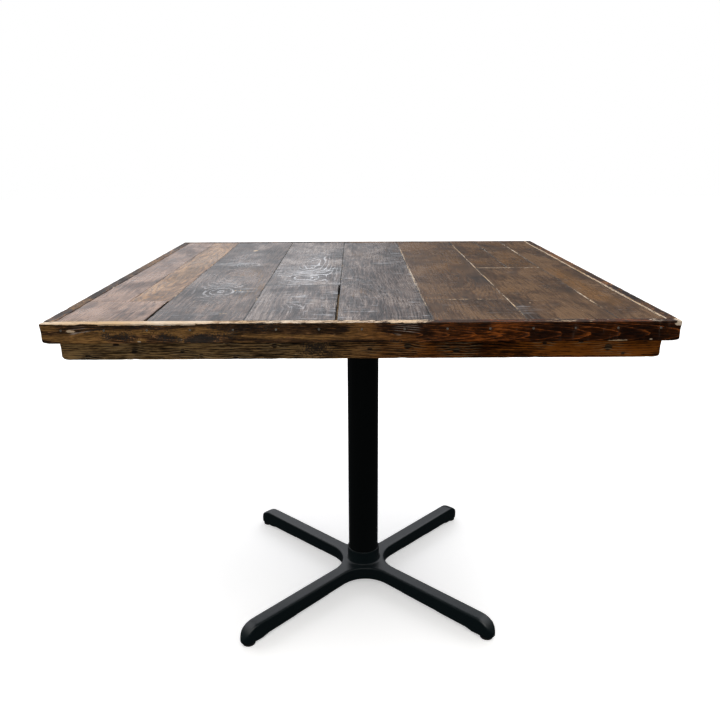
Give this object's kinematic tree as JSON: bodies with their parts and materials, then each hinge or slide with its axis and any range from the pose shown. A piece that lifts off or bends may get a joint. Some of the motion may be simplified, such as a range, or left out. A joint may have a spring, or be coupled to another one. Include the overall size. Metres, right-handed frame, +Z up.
{
  "type": "bistro table",
  "caption": "Square table with a plank top, nailed edging and a set-back lower frame, on a round column with a cast cross base and screw-in levelling feet.",
  "frame": {"origin": "on the floor, under the centre of the square top; the column's axis is 8 mm to +X of it", "axes": "+Z up; -Y is the table's front; the planks run along Y and +X is to the right seen from the front"},
  "size_m": [1.016, 1.016, 0.781],
  "materials": {
    "plank_wood": "dark-stained reclaimed planks under semi-gloss varnish",
    "edging_wood": "dark-stained pine strip, varnished, edges worn to bare wood",
    "frame_wood": "golden-brown stained pine, satin varnish",
    "plywood": "raw softwood plywood",
    "black_iron": "fine-textured black powder coat, satin",
    "black_steel": "black powder coat, satin",
    "zinc_steel": "zinc-plated steel",
    "nail_steel": "dull, slightly rusted wire nails",
    "black_nylon": "moulded black nylon"
  },
  "bodies": {
    "table": {"plank_01": "plank_wood", "plank_02": "plank_wood", "plank_03": "plank_wood", "plank_04": "plank_wood", "plank_05": "plank_wood", "plank_06": "plank_wood", "plank_07": "plank_wood", "plank_08": "plank_wood", "plank_09": "plank_wood", "plank_10": "plank_wood", "plank_11": "plank_wood", "plank_12": "plank_wood", "plank_13": "plank_wood", "plywood_panel": "plywood", "edging_front": "edging_wood", "edging_back": "edging_wood", "edging_left": "edging_wood", "edging_right": "edging_wood", "edging_nails": "nail_steel", "frame_rail_front": "frame_wood", "frame_rail_back": "frame_wood", "frame_rail_left": "frame_wood", "frame_rail_right": "frame_wood", "centre_board_left": "frame_wood", "centre_board_right": "frame_wood", "panel_screws": "zinc_steel", "rail_screws": "zinc_steel", "spider": "black_iron", "spider_screws": "zinc_steel", "column": "black_steel", "tie_rod": "zinc_steel", "tie_rod_nut_lower": "zinc_steel", "tie_rod_washer_lower": "zinc_steel", "tie_rod_nut_upper": "zinc_steel", "tie_rod_washer_upper": "zinc_steel", "cross_base": "black_iron"},
    "leveller_front_left": {"glide_front_left": "black_nylon", "leveller_stem_front_left": "zinc_steel"},
    "leveller_front_right": {"glide_front_right": "black_nylon", "leveller_stem_front_right": "zinc_steel"},
    "leveller_back_left": {"glide_back_left": "black_nylon", "leveller_stem_back_left": "zinc_steel"},
    "leveller_back_right": {"glide_back_right": "black_nylon", "leveller_stem_back_right": "zinc_steel"}
  },
  "joints": [
    {"name": "leveller_front_left_screw_out", "type": "slide", "parent": "table", "child": "leveller_front_left", "axis": [0, 0, -1], "range_m": [0, 0.01]},
    {"name": "leveller_front_right_screw_out", "type": "slide", "parent": "table", "child": "leveller_front_right", "axis": [0, 0, -1], "range_m": [0, 0.01]},
    {"name": "leveller_back_left_screw_out", "type": "slide", "parent": "table", "child": "leveller_back_left", "axis": [0, 0, -1], "range_m": [0, 0.01]},
    {"name": "leveller_back_right_screw_out", "type": "slide", "parent": "table", "child": "leveller_back_right", "axis": [0, 0, -1], "range_m": [0, 0.01]}
  ]
}
